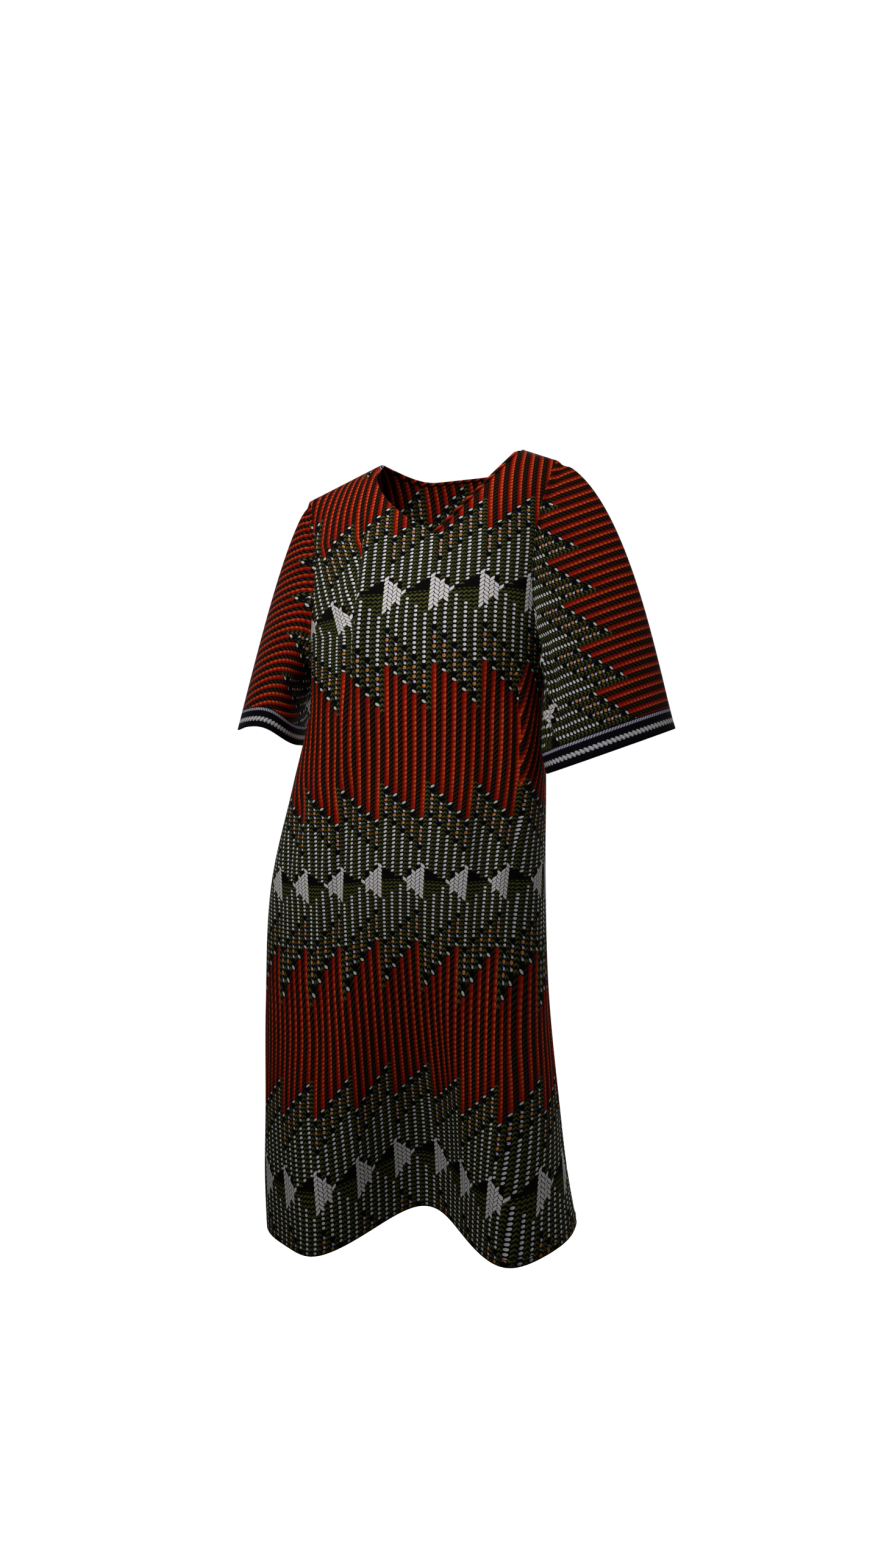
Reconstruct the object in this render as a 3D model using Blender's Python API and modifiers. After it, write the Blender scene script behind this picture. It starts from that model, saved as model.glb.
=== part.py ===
# A pull-on printed cotton dress, as it hangs when worn: V neck, wide elbow-length sleeves, hem at mid calf.
# Metres, +Z up. The front faces -Y and the wearer's left is +X. The origin lies midway between the two
# points where the shoulder seams meet the neckline, which is where the shoulders carry the dress.

import math

import bmesh
import bpy
import numpy as np

# Cloth
WALL = 0.0018
SEAM_GAP = 0.0003
SIDE_LEAN = 0.060

# Neckline, seen from the front
NECK_HALF = 0.100
NECK_FRONT_DROP = 0.114
NECK_BACK_DROP = 0.022
NECK_BACK_ROUND = 1.6
NECK_BOW = {"left": 0.82, "right": 0.50}

# Shoulders and armholes
SHOULDER_FALL = 0.44
SHOULDER_FORWARD = 0.30
SHOULDER_ROUND = {"front": 0.095, "back": 0.085}
SHOULDER_EASE = 0.0009
NECK_SIDESTEP = 0.022
TIP_HALF = 0.1735
ARMHOLE_INSET = 0.016
UNDERARM_DROP = 0.285

# Hem
HEM_DROP = 1.072
HEM_RISE = 0.032

# The roundness of a section: 2 is an ellipse, more is squarer
SQUARE = 2.4

# Sections across the trunk and skirt: how far below the shoulder, where the middle lies, and how far
# the cloth reaches from it to each side, to the front and to the back
SECTION_COLUMNS = ("drop", "middle_x", "middle_y", "half_width", "front", "back")
SECTIONS = (
    (0.000, -0.026, 0.000, 0.1830, 0.078, 0.078),
    (0.120, -0.027, -0.002, 0.1770, 0.096, 0.092),
    (0.235, -0.029, -0.008, 0.1690, 0.128, 0.100),
    (0.330, -0.033, -0.016, 0.1640, 0.124, 0.096),
    (0.440, -0.043, -0.025, 0.1790, 0.114, 0.098),
    (0.570, -0.057, -0.034, 0.1940, 0.122, 0.126),
    (0.750, -0.058, -0.040, 0.2025, 0.126, 0.118),
    (0.900, -0.050, -0.044, 0.2110, 0.130, 0.114),
    (1.000, -0.044, -0.046, 0.2180, 0.134, 0.112),
    (1.130, -0.028, -0.048, 0.2280, 0.140, 0.112),
)

# The folds fade out at the side seams, more suddenly the higher this power is, and each fold that ends
# fades over this share of its full length
SEAM_FADE = 6
END_FADE = 0.4

# Hanging folds: the panel, the drops where the fold starts and where it is full, its place across at
# those drops, how far it stands out (in, if negative), its half width, and the drop where it ends
FOLD_COLUMNS = ("panel", "start", "full", "x_start", "x_full", "out", "half_width", "end")
FOLDS = (
    ("front", 0.56, 1.07, -0.028, -0.018, -0.108, 0.078, None),
    ("front", 0.60, 1.04, 0.095, 0.135, 0.036, 0.052, None),
    ("front", 0.70, 1.05, -0.170, -0.145, 0.022, 0.045, None),
    ("front", 0.06, 0.18, -0.082, -0.106, 0.010, 0.023, 0.50),
    ("front", 0.08, 0.22, -0.052, -0.064, -0.006, 0.024, 0.48),
    ("front", 0.26, 0.36, 0.105, 0.085, -0.010, 0.022, 0.62),
    ("front", 0.28, 0.40, 0.120, 0.122, 0.008, 0.020, 0.58),
    ("back", 0.55, 1.07, -0.040, -0.030, -0.045, 0.070, None),
    ("back", 0.30, 0.75, 0.080, 0.120, 0.014, 0.035, None),
    ("back", 0.25, 0.80, -0.150, -0.160, 0.013, 0.035, None),
)

# Grid of each panel: columns between the corners of its top edge, and rows above and below the underarm
PANEL_COLUMNS = {"front": (8, 8, 9, 7), "back": (7, 5, 6, 6)}
PANEL_ROWS = {"front": (14, 21), "back": (14, 15)}

# Sleeves: the middle of the hem, the steps from there to its outer and to its front edge, where it
# hangs down or lifts over the arm (the turn from under the arm, how far down, the half width in
# turns), how steeply and how hard the cloth leaves the armhole at the top and under the arm, how far
# it starts from the armhole edge, and how hard it nears the hem. TOP_ROUND and TOP_NARROW say how
# soon the values of the top give way
SLEEVE_RINGS = 12
SLEEVE_SPREAD = 2.0
SLEEVE_OFFSET = 0.0005
TOP_ROUND = 1.5
TOP_NARROW = 3
SLEEVES = {
    "left": {
        "side": 1.0,
        "hem_middle": (0.2275, -0.040, -0.400),
        "to_outer": (0.0835, 0.010, 0.0310),
        "to_front": (-0.004, -0.062, 0.000),
        "waves": (),
        "top_fall": 0.34,
        "under_fall": 6.00,
        "top_offset": 0.0,
        "leave_top": 0.31,
        "leave_under": 0.16,
        "arrive": 0.15,
    },
    "right": {
        "side": -1.0,
        "hem_middle": (-0.2720, -0.004, -0.3865),
        "to_outer": (-0.0450, 0.000, 0.0150),
        "to_front": (0.006, -0.081, -0.002),
        "waves": ((1.40, -0.020, 0.80), (2.90, 0.006, 0.55)),
        "top_fall": 1.29,
        "under_fall": 1.10,
        "top_offset": 0.0007,
        "leave_top": 0.255,
        "leave_under": 0.16,
        "arrive": 0.065,
    },
}

# Mean colour of the printed cloth on each piece: linear red, green and blue
COLOURS = {
    "front": (0.085, 0.024, 0.016),
    "back": (0.080, 0.023, 0.016),
    "sleeve_left": (0.110, 0.020, 0.012),
    "sleeve_right": (0.105, 0.019, 0.012),
}
CLOTH_ROUGHNESS = 0.82


def clear_scene():
    for thing in list(bpy.data.objects):
        bpy.data.objects.remove(thing, do_unlink=True)


def smoothstep(low, high, value):
    share = min(max((value - low) / (high - low), 0.0), 1.0)
    return share * share * (3.0 - 2.0 * share)


def section_at(drop):
    """The values of one section, on a smooth curve through the rows of SECTIONS."""
    rows = np.array(SECTIONS)
    drops = rows[:, 0]
    slopes = np.gradient(rows, drops, axis=0)
    drop = min(max(drop, drops[0]), drops[-1])
    upper = min(int(np.searchsorted(drops, drop, side="right")) - 1, len(drops) - 2)
    span = drops[upper + 1] - drops[upper]
    s = (drop - drops[upper]) / span
    values = (
        (2 * s**3 - 3 * s**2 + 1) * rows[upper]
        + (s**3 - 2 * s**2 + s) * span * slopes[upper]
        + (3 * s**2 - 2 * s**3) * rows[upper + 1]
        + (s**3 - s**2) * span * slopes[upper + 1]
    )
    return dict(zip(SECTION_COLUMNS, values))


def fold_out(panel, x, drop):
    """How far the hanging folds push the cloth out of its plain section."""
    out = 0.0
    for row in FOLDS:
        fold = dict(zip(FOLD_COLUMNS, row))
        if fold["panel"] != panel:
            continue
        strength = smoothstep(fold["start"], fold["full"], drop)
        if fold["end"] is not None:
            fading = fold["end"] - END_FADE * (fold["end"] - fold["full"])
            strength *= 1.0 - smoothstep(fading, fold["end"], drop)
        along = min(max((drop - fold["start"]) / (fold["full"] - fold["start"]), 0.0), 1.0)
        line = fold["x_start"] + along * (fold["x_full"] - fold["x_start"])
        out += fold["out"] * strength * math.exp(-(((x - line) / fold["half_width"]) ** 2))
    return out


def shoulder_height(x):
    return -SHOULDER_FALL * max(0.0, abs(x) - NECK_HALF)


def shoulder_depth(x):
    """The shoulder seam runs a little forward towards the tip."""
    return -SHOULDER_FORWARD * max(0.0, abs(x) - NECK_HALF)


def top_height(panel, x):
    """Height of a panel's top edge: the neckline between the neck points, then the shoulder seam."""
    share = 1.0 - abs(x) / NECK_HALF
    if share <= 0.0:
        return shoulder_height(x)
    if panel == "back":
        return -NECK_BACK_DROP * math.sin(0.5 * math.pi * min(1.0, NECK_BACK_ROUND * share))
    bow = NECK_BOW["left" if x > 0.0 else "right"]
    return -NECK_FRONT_DROP * share**bow


def cloth_y(panel, x, height):
    """How far forward or back the cloth lies at a place across and a height."""
    section = section_at(-height)
    across = min(abs(x - section["middle_x"]) / section["half_width"], 1.0)
    reach = section[panel] * (1.0 - across**SQUARE) ** (1.0 / SQUARE)
    reach += fold_out(panel, x, -height) * (1.0 - across**SEAM_FADE)
    below = min(max((shoulder_height(x) - height) / SHOULDER_ROUND[panel], 0.0), 1.0)
    rounded = math.sqrt(1.0 - (1.0 - below) ** 2)
    facing = -1.0 if panel == "front" else 1.0
    y = (1.0 - rounded) * shoulder_depth(x) + rounded * (section["middle_y"] + facing * reach)
    return y + facing * (0.5 * SEAM_GAP + (1.0 - rounded) * SHOULDER_EASE)


def hem_height(panel, x):
    """The hem rises where the cloth falls back between the legs."""
    if panel == "back":
        return -HEM_DROP
    valley = dict(zip(FOLD_COLUMNS, FOLDS[0]))
    return -HEM_DROP + HEM_RISE * math.exp(-(((x - valley["x_full"]) / valley["half_width"]) ** 2))


def column_shares(panel):
    """Places across a panel, from -1 to 1, with one at each neck point and at the low point of the V."""
    top = section_at(0.0)["middle_x"] + NECK_SIDESTEP
    corners = [-1.0]
    for x in (-NECK_HALF, 0.0, NECK_HALF):
        bend = TIP_HALF**2 - 4.0 * NECK_SIDESTEP * (x - top)
        corners.append((TIP_HALF - math.sqrt(bend)) / (2.0 * NECK_SIDESTEP))
    corners.append(1.0)
    angles = [math.asin(share) for share in corners]
    shares = []
    for start, end, count in zip(angles, angles[1:], PANEL_COLUMNS[panel]):
        shares += [math.sin(start + (end - start) * step / count) for step in range(count)]
    return shares + [1.0]


def upper_x(share, rise):
    """Place across in metres above the underarm; rise is 0 at the underarm and 1 at the top edge."""
    low = section_at(UNDERARM_DROP)
    top_x = section_at(0.0)["middle_x"]
    half = low["half_width"] + (TIP_HALF - low["half_width"]) * rise
    half -= ARMHOLE_INSET * math.sin(math.pi * rise) ** SQUARE
    middle = low["middle_x"] + (top_x - low["middle_x"]) * rise
    return middle + share * half + NECK_SIDESTEP * rise * (1.0 - share * share)


def upper_point(panel, share, rise):
    x = upper_x(share, rise)
    top = top_height(panel, upper_x(share, 1.0))
    height = -UNDERARM_DROP + (top + UNDERARM_DROP) * 0.5 * (1.0 - math.cos(math.pi * rise))
    return (x, cloth_y(panel, x, height), height)


def lower_point(panel, share, fall):
    """A point below the underarm; fall is 0 at the underarm and 1 at the hem."""
    hem_section = section_at(HEM_DROP)
    hem_x = hem_section["middle_x"] + share * hem_section["half_width"]
    height = -UNDERARM_DROP + (hem_height(panel, hem_x) + UNDERARM_DROP) * fall
    section = section_at(-height)
    x = section["middle_x"] + share * section["half_width"]
    return (x, cloth_y(panel, x, height), height)


def lean(point):
    """The dress hangs a little lower on the wearer's right."""
    x, y, z = point
    return (x, y, z + SIDE_LEAN * x)


def panel_grid(panel):
    above, below = PANEL_ROWS[panel]
    shares = column_shares(panel)
    rows = [[lean(upper_point(panel, s, 1.0 - r / above)) for s in shares] for r in range(above)]
    rows += [[lean(lower_point(panel, s, r / below)) for s in shares] for r in range(below + 1)]
    return rows


def armhole_points(side):
    """The armhole edge, from the underarm up the front to the shoulder and down the back, not closed."""
    count = PANEL_ROWS["front"][0]
    front = [lean(upper_point("front", side, r / count)) for r in range(count + 1)]
    back = [lean(upper_point("back", side, 1.0 - r / count)) for r in range(count)]
    return np.array(front[:-1]), np.array([front[-1]]), np.array(back)


def sleeve_ring_start(side):
    """The sleeve's top edge: the armhole edge, with the panels' seam gap closed at its two ends."""
    front, tip, back = armhole_points(side)
    ring = np.vstack([front, tip, back[1:]])
    ring[0, 1] = 0.5 * (front[0, 1] + upper_point("back", side, 0.0)[1])
    ring[len(front), 1] = 0.5 * (tip[0, 1] + back[0, 1])
    return ring


def sleeve_grid(sleeve):
    side = sleeve["side"]
    start = sleeve_ring_start(side)
    count = len(start)
    middle = start.mean(axis=0)
    outer = np.array(sleeve["to_outer"])
    front = np.array(sleeve["to_front"])
    hem_middle = np.array(sleeve["hem_middle"])
    fall = np.cross(outer, front) * side
    fall /= np.linalg.norm(fall)
    rows = []
    leaving = []
    offsets = []
    lengths = []
    hem = []
    for index, point in enumerate(start):
        turn = 2.0 * math.pi * index / count
        ring = -math.cos(turn) * outer + math.sin(turn) * front
        down = sum(far * math.exp(-(((turn - at) / width) ** 2)) for at, far, width in sleeve["waves"])
        hem.append(hem_middle + ring + down * fall)
        upward = 0.5 * (1.0 - math.cos(turn))
        spread = (point - middle) * np.array((0.0, 1.0, 0.0))
        fall_out = sleeve["under_fall"] + (sleeve["top_fall"] - sleeve["under_fall"]) * upward
        heading = np.array((side, 0.0, -fall_out)) + SLEEVE_SPREAD * spread
        leaving.append(heading / np.linalg.norm(heading))
        offsets.append([SLEEVE_OFFSET + sleeve["top_offset"] * upward**TOP_NARROW])
        longer = sleeve["leave_top"] - sleeve["leave_under"]
        lengths.append([sleeve["leave_under"] + longer * upward**TOP_ROUND])
    leaving = np.array(leaving)
    hem = np.array(hem)
    first = start + np.array(offsets) * leaving
    leaving *= np.array(lengths)
    for ring_index in range(SLEEVE_RINGS + 1):
        s = ring_index / SLEEVE_RINGS
        rows.append(
            (2 * s**3 - 3 * s**2 + 1) * first
            + (s**3 - 2 * s**2 + s) * leaving
            + (3 * s**2 - 2 * s**3) * hem
            + (s**3 - s**2) * sleeve["arrive"] * fall
        )
    return rows


def cloth_material(name):
    material = bpy.data.materials.new(name + " cloth")
    material.use_nodes = True
    shader = material.node_tree.nodes["Principled BSDF"]
    shader.inputs["Base Color"].default_value = (*COLOURS[name], 1.0)
    shader.inputs["Roughness"].default_value = CLOTH_ROUGHNESS
    shader.inputs["Metallic"].default_value = 0.0
    return material


def make_cloth(collection, name, rows, closed, outward):
    """An open sheet of four-sided faces with a wall inwards from it; closed joins the last column to the first."""
    shell = bmesh.new()
    grid = [[shell.verts.new(point) for point in row] for row in rows]
    across = len(rows[0]) if closed else len(rows[0]) - 1
    for upper, lower in zip(grid, grid[1:]):
        for column in range(across):
            after = (column + 1) % len(upper)
            corners = [upper[column], lower[column], lower[after], upper[after]]
            shell.faces.new(corners if outward else corners[::-1])
    mesh = bpy.data.meshes.new(name)
    shell.to_mesh(mesh)
    shell.free()
    mesh.shade_smooth()
    cloth = bpy.data.objects.new(name, mesh)
    cloth.data.materials.append(cloth_material(name))
    collection.objects.link(cloth)
    wall = cloth.modifiers.new("wall", "SOLIDIFY")
    wall.thickness = WALL
    wall.offset = -1.0
    wall.use_even_offset = False
    return cloth


def main():
    clear_scene()
    collection = bpy.data.collections.new("ankara sundress")
    bpy.context.scene.collection.children.link(collection)
    make_cloth(collection, "front", panel_grid("front"), closed=False, outward=True)
    make_cloth(collection, "back", panel_grid("back"), closed=False, outward=False)
    for side, sleeve in SLEEVES.items():
        rows = sleeve_grid(sleeve)
        make_cloth(collection, "sleeve_" + side, rows, closed=True, outward=side == "left")


main()
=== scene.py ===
# A pull-on dress of printed cotton, as it hangs when worn: V neck, wide elbow-length sleeves, long skirt.
# The front faces -Y, the wearer's left is +X, and the origin lies between the neck points of the shoulders.
# Each cut piece is a fine sheet on the form of its solid, with the finer creases and the print.

import math

import bpy
import numpy as np
from mathutils import Matrix


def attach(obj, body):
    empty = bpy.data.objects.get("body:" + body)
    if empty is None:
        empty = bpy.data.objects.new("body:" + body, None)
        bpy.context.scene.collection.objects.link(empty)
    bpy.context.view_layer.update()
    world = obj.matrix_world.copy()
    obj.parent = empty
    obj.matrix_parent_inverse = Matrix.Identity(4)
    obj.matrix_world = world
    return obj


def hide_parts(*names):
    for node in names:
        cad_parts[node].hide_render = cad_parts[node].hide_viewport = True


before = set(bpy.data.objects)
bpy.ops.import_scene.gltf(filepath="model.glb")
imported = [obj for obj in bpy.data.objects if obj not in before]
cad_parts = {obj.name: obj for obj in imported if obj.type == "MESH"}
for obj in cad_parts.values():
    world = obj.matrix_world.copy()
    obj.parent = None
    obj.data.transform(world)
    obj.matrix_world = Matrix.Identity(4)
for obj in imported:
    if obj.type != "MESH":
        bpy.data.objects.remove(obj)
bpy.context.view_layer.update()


def sRgb(code):
    values = [int(code[i : i + 2], 16) / 255 for i in (1, 3, 5)]
    return tuple(v / 12.92 if v <= 0.04045 else ((v + 0.055) / 1.055) ** 2.4 for v in values) + (1.0,)


def smoothstep(low, high, value):
    share = np.clip((value - low) / (high - low), 0.0, 1.0)
    return share * share * (3.0 - 2.0 * share)


# The form of the dress, with the same values as its solids
form = {
    "sideLean": 0.060,
    "neckHalf": 0.100,
    "neckFrontDrop": 0.114,
    "neckBackDrop": 0.022,
    "neckBackRound": 1.6,
    "neckBowLeft": 0.82,
    "neckBowRight": 0.50,
    "shoulderFall": 0.44,
    "shoulderForward": 0.30,
    "shoulderRound": {"front": 0.095, "back": 0.085},
    "neckSidestep": 0.022,
    "tipHalf": 0.1735,
    "armholeInset": 0.016,
    "underarmDrop": 0.285,
    "hemDrop": 1.072,
    "hemRise": 0.032,
    "square": 2.4,
    "seamFade": 6,
    "endFade": 0.4,
}
sectionNames = ("drop", "middleX", "middleY", "halfWidth", "front", "back")
sections = np.array(
    (
        (0.000, -0.026, 0.000, 0.1830, 0.078, 0.078),
        (0.120, -0.027, -0.002, 0.1770, 0.096, 0.092),
        (0.235, -0.029, -0.008, 0.1690, 0.128, 0.100),
        (0.330, -0.033, -0.016, 0.1640, 0.124, 0.096),
        (0.440, -0.043, -0.025, 0.1790, 0.114, 0.098),
        (0.570, -0.057, -0.034, 0.1940, 0.122, 0.126),
        (0.750, -0.058, -0.040, 0.2025, 0.126, 0.118),
        (0.900, -0.050, -0.044, 0.2110, 0.130, 0.114),
        (1.000, -0.044, -0.046, 0.2180, 0.134, 0.112),
        (1.130, -0.028, -0.048, 0.2280, 0.140, 0.112),
    )
)
foldNames = ("panel", "start", "full", "xStart", "xFull", "out", "halfWidth", "end")
folds = (
    ("front", 0.56, 1.07, -0.028, -0.018, -0.108, 0.078, None),
    ("front", 0.60, 1.04, 0.095, 0.135, 0.036, 0.052, None),
    ("front", 0.70, 1.05, -0.170, -0.145, 0.022, 0.045, None),
    ("front", 0.06, 0.18, -0.082, -0.106, 0.010, 0.023, 0.50),
    ("front", 0.08, 0.22, -0.052, -0.064, -0.006, 0.024, 0.48),
    ("front", 0.26, 0.36, 0.105, 0.085, -0.010, 0.022, 0.62),
    ("front", 0.28, 0.40, 0.120, 0.122, 0.008, 0.020, 0.58),
    ("back", 0.55, 1.07, -0.040, -0.030, -0.045, 0.070, None),
    ("back", 0.30, 0.75, 0.080, 0.120, 0.014, 0.035, None),
    ("back", 0.25, 0.80, -0.150, -0.160, 0.013, 0.035, None),
)

# Fine creases: the panel, the line's places across at four drops, how far it stands out, its half width
creases = (
    ("front", ((0.03, -0.108), (0.12, -0.105), (0.28, -0.108), (0.45, -0.104)), -0.008, 0.006),
    ("front", ((0.05, -0.092), (0.14, -0.090), (0.26, -0.092), (0.40, -0.088)), 0.004, 0.008),
    ("front", ((0.38, -0.100), (0.48, -0.108), (0.60, -0.122), (0.76, -0.138)), -0.007, 0.008),
    ("front", ((0.38, -0.124), (0.48, -0.130), (0.60, -0.144), (0.74, -0.156)), 0.004, 0.009),
    ("front", ((0.27, 0.096), (0.33, 0.109), (0.50, 0.112), (0.64, 0.108)), -0.009, 0.006),
    ("front", ((0.30, 0.084), (0.38, 0.094), (0.52, 0.096), (0.64, 0.094)), 0.003, 0.007),
    ("front", ((0.26, -0.158), (0.34, -0.150), (0.46, -0.158), (0.60, -0.190)), 0.004, 0.012),
    ("front", ((0.40, -0.175), (0.50, -0.195), (0.60, -0.215), (0.72, -0.225)), -0.005, 0.010),
    ("front", ((0.44, 0.068), (0.54, 0.071), (0.74, 0.076), (0.92, 0.080)), -0.005, 0.010),
    ("front", ((0.60, 0.020), (0.75, 0.028), (0.90, 0.045), (1.02, 0.052)), 0.006, 0.014),
    ("front", ((0.62, -0.110), (0.78, -0.104), (0.92, -0.098), (1.04, -0.092)), 0.007, 0.015),
    ("front", ((0.66, -0.150), (0.80, -0.152), (0.94, -0.158), (1.05, -0.160)), -0.006, 0.012),
    ("front", ((0.64, 0.108), (0.78, 0.120), (0.92, 0.128), (1.05, 0.134)), -0.006, 0.012),
    ("back", ((0.20, -0.060), (0.35, -0.045), (0.50, -0.055), (0.62, -0.070)), 0.005, 0.016),
    ("back", ((0.22, 0.050), (0.36, 0.034), (0.50, 0.028), (0.60, 0.030)), -0.005, 0.014),
    ("back", ((0.56, 0.020), (0.72, 0.030), (0.90, 0.040), (1.05, 0.046)), 0.005, 0.018),
    ("back", ((0.60, -0.110), (0.76, -0.104), (0.92, -0.098), (1.05, -0.092)), -0.005, 0.018),
)


# How much each knot of a smooth curve counts at the places asked for
def curveWeights(knots, at):
    knots = np.array(knots)
    at = np.clip(at, knots[0], knots[-1])
    left = np.clip(np.searchsorted(knots, at, side="right") - 1, 0, len(knots) - 2)
    span = (knots[left + 1] - knots[left])[..., None]
    s = (at - knots[left])[..., None] / span
    whole = np.eye(len(knots))
    slopes = np.gradient(whole, knots, axis=0)
    weights = (2 * s**3 - 3 * s**2 + 1) * whole[left] + (s**3 - 2 * s**2 + s) * span * slopes[left]
    return weights + (3 * s**2 - 2 * s**3) * whole[left + 1] + (s**3 - s**2) * span * slopes[left + 1]


def sectionAt(drop):
    values = curveWeights(sections[:, 0], drop) @ sections
    return {name: values[..., i] for i, name in enumerate(sectionNames)}


def foldOut(panel, x, drop):
    out = np.zeros(np.broadcast(x, drop).shape)
    for row in folds:
        fold = dict(zip(foldNames, row))
        if fold["panel"] != panel:
            continue
        strength = smoothstep(fold["start"], fold["full"], drop)
        if fold["end"] is not None:
            fading = fold["end"] - form["endFade"] * (fold["end"] - fold["full"])
            strength = strength * (1.0 - smoothstep(fading, fold["end"], drop))
        along = np.clip((drop - fold["start"]) / (fold["full"] - fold["start"]), 0.0, 1.0)
        line = fold["xStart"] + along * (fold["xFull"] - fold["xStart"])
        out = out + fold["out"] * strength * np.exp(-(((x - line) / fold["halfWidth"]) ** 2))
    return out


def creaseOut(panel, x, drop):
    out = np.zeros(np.broadcast(x, drop).shape)
    for where, points, depth, halfWidth in creases:
        if where != panel:
            continue
        drops = [d for d, place in points]
        line = np.interp(drop, drops, [place for d, place in points])
        strength = smoothstep(drops[0], drops[1], drop) * (1.0 - smoothstep(drops[2], drops[3], drop))
        out = out + depth * strength * np.exp(-(((x - line) / halfWidth) ** 2))
    return out


def shoulderHeight(x):
    return -form["shoulderFall"] * np.maximum(0.0, np.abs(x) - form["neckHalf"])


def topHeight(panel, x):
    share = np.clip(1.0 - np.abs(x) / form["neckHalf"], 0.0, 1.0)
    if panel == "back":
        dip = form["neckBackDrop"] * np.sin(0.5 * math.pi * np.minimum(1.0, form["neckBackRound"] * share))
    else:
        bow = np.where(x > 0.0, form["neckBowLeft"], form["neckBowRight"])
        dip = form["neckFrontDrop"] * share**bow
    return np.where(share > 0.0, -dip, shoulderHeight(x))


def clothY(panel, x, height):
    section = sectionAt(-height)
    across = np.clip(np.abs(x - section["middleX"]) / section["halfWidth"], 0.0, 1.0)
    reach = section[panel] * (1.0 - across ** form["square"]) ** (1.0 / form["square"])
    shaped = foldOut(panel, x, -height) + creaseOut(panel, x, -height)
    reach = reach + shaped * (1.0 - across ** form["seamFade"])
    below = np.clip((shoulderHeight(x) - height) / form["shoulderRound"][panel], 0.0, 1.0)
    rounded = np.sqrt(1.0 - (1.0 - below) ** 2)
    facing = -1.0 if panel == "front" else 1.0
    seamY = -form["shoulderForward"] * np.maximum(0.0, np.abs(x) - form["neckHalf"])
    return (1.0 - rounded) * seamY + rounded * (section["middleY"] + facing * reach)


def hemHeight(panel, x):
    if panel == "back":
        return np.full(np.shape(x), -form["hemDrop"])
    valley = dict(zip(foldNames, folds[0]))
    rise = np.exp(-(((x - valley["xFull"]) / valley["halfWidth"]) ** 2))
    return -form["hemDrop"] + form["hemRise"] * rise


def columnShares(counts):
    topMiddle = sections[0][1] + form["neckSidestep"]
    corners = [-1.0]
    for x in (-form["neckHalf"], 0.0, form["neckHalf"]):
        bend = form["tipHalf"] ** 2 - 4.0 * form["neckSidestep"] * (x - topMiddle)
        corners.append((form["tipHalf"] - math.sqrt(bend)) / (2.0 * form["neckSidestep"]))
    corners.append(1.0)
    angles = [math.asin(share) for share in corners]
    shares = [np.sin(np.linspace(a, b, n, endpoint=False)) for a, b, n in zip(angles, angles[1:], counts)]
    return np.append(np.concatenate(shares), 1.0)


def upperX(share, rise):
    low = sectionAt(np.array(form["underarmDrop"]))
    half = low["halfWidth"] + (form["tipHalf"] - low["halfWidth"]) * rise
    half = half - form["armholeInset"] * np.sin(math.pi * rise) ** form["square"]
    middle = low["middleX"] + (sections[0][1] - low["middleX"]) * rise
    return middle + share * half + form["neckSidestep"] * rise * (1.0 - share * share)


# Places across and heights of a panel's grid, from its top edge down to the hem, and how far down the skirt
# each row lies, before it is shaped in depth
def panelPlaces(panel, shares, above, below):
    rise = np.linspace(1.0, 0.0, above, endpoint=False)[:, None]
    xUp = upperX(shares[None, :], rise)
    top = topHeight(panel, upperX(shares, 1.0))[None, :]
    up = -form["underarmDrop"] + (top + form["underarmDrop"]) * 0.5 * (1.0 - np.cos(math.pi * rise))
    fall = np.linspace(0.0, 1.0, below + 1)[:, None]
    hem = sectionAt(np.array(form["hemDrop"]))
    hemX = hem["middleX"] + shares * hem["halfWidth"]
    down = -form["underarmDrop"] + (hemHeight(panel, hemX)[None, :] + form["underarmDrop"]) * fall
    section = sectionAt(-down)
    xDown = section["middleX"] + shares[None, :] * section["halfWidth"]
    falls = np.vstack([np.zeros_like(xUp), np.broadcast_to(fall, xDown.shape)])
    return np.vstack([xUp, xDown]), np.vstack([up, down]), falls


def panelPoints(panel, x, height):
    return np.stack([x, clothY(panel, x, height), height + form["sideLean"] * x], axis=-1)


# The ruler that lengths along the cloth are read from: first, last and how many heights and places, and turns
ruler = {"heights": (0.02, -1.12, 457), "places": (-0.29, 0.26, 441), "turns": 481}


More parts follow.
